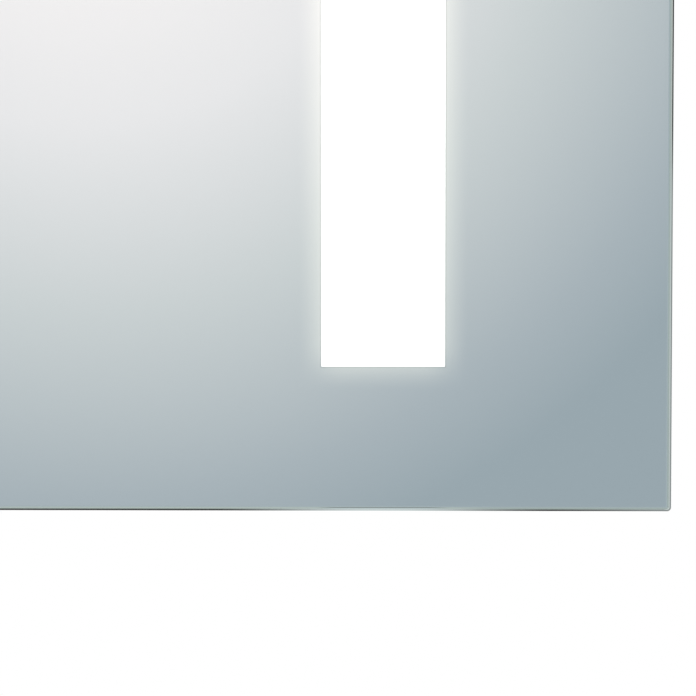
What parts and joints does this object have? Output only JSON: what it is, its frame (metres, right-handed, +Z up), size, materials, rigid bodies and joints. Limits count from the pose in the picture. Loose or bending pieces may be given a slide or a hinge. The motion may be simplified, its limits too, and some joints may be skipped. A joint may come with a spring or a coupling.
{
  "type": "lighted mirror cabinet",
  "caption": "Wall-hung mirror cabinet with a hinged mirror door, edge-to-edge glass, vertical lit bands, glass shelves and a service compartment",
  "frame": {"origin": "middle of the back, in the plane that bears on the wall", "axes": "+X to the right as the user sees the front, +Y towards the wall, +Z up"},
  "size_m": [0.61, 0.1204, 0.762],
  "materials": {
    "anodised_aluminium": "fine satin silver anodising",
    "mill_aluminium": "mill finish",
    "galvanised_steel": "galvanised sheet with a faint spangle",
    "white_steel": "satin white powder coat",
    "silvered_mirror": "silvered glass",
    "float_glass": "polished float glass, etched frosted over the two bands",
    "shelf_glass": "polished float glass with green edges",
    "steel_hardware": "satin stainless steel",
    "screw_steel": "bright zinc plate",
    "clip_chrome": "polished nickel chrome",
    "clear_plastic": "clear soft plastic",
    "white_plastic": "moulded white plastic",
    "grey_plastic": "moulded grey plastic",
    "black_plastic": "moulded black plastic",
    "driver_case": "fine textured white case",
    "magnet": "nickel plated magnet",
    "opal_diffuser": "opal sheet, lit",
    "white_board": "white solder mask",
    "lamp_package": "moulded package with yellow phosphor, lit"
  },
  "bodies": {
    "cabinet": {"body_side_left": "anodised_aluminium", "body_side_right": "anodised_aluminium", "body_top": "anodised_aluminium", "body_bottom": "anodised_aluminium", "body_corner_keys": "mill_aluminium", "back_panel": "galvanised_steel", "back_mirror": "silvered_mirror", "supply_bushing": "black_plastic", "shelf_lower": "shelf_glass", "shelf_middle": "shelf_glass", "shelf_upper": "shelf_glass", "shelf_clips": "clip_chrome", "shelf_pads": "clear_plastic", "hinge_leaf_body": "steel_hardware", "hinge_pin": "steel_hardware", "lead_gland_body": "grey_plastic", "catch_holders": "grey_plastic", "catch_magnets": "magnet", "door_buffers": "clear_plastic", "service_cover": "white_steel", "service_brackets": "galvanised_steel", "cover_screws": "screw_steel", "led_driver": "driver_case", "terminal_block": "grey_plastic", "power_outlet": "white_plastic", "switch_housing": "white_plastic"},
    "door": {"door_glass": "float_glass", "mirror_backing": "silvered_mirror", "door_stile_left": "anodised_aluminium", "door_stile_right": "anodised_aluminium", "door_rail_bottom": "anodised_aluminium", "door_rail_top": "anodised_aluminium", "door_corner_keys": "mill_aluminium", "door_inner_mirror": "silvered_mirror", "hinge_leaf_door": "steel_hardware", "lead_gland_door": "grey_plastic", "striker_plates": "steel_hardware", "light_channel_left": "mill_aluminium", "channel_end_caps_left": "white_plastic", "light_diffuser_left": "opal_diffuser", "led_board_left": "white_board", "led_packages_left": "lamp_package", "light_channel_right": "mill_aluminium", "channel_end_caps_right": "white_plastic", "light_diffuser_right": "opal_diffuser", "led_board_right": "white_board", "led_packages_right": "lamp_package"},
    "rocker": {"switch_rocker": "white_plastic"}
  },
  "joints": [
    {"name": "door_swing", "type": "hinge", "parent": "cabinet", "child": "door", "pos_m": [-0.3012, -0.0915, 0], "axis": [0, 0, -1], "range_deg": [0, 170]},
    {"name": "rocker_tilt", "type": "hinge", "parent": "cabinet", "child": "rocker", "pos_m": [0.245, -0.0779, 0.3285], "axis": [1, 0, 0], "range_deg": [0, 14]}
  ]
}
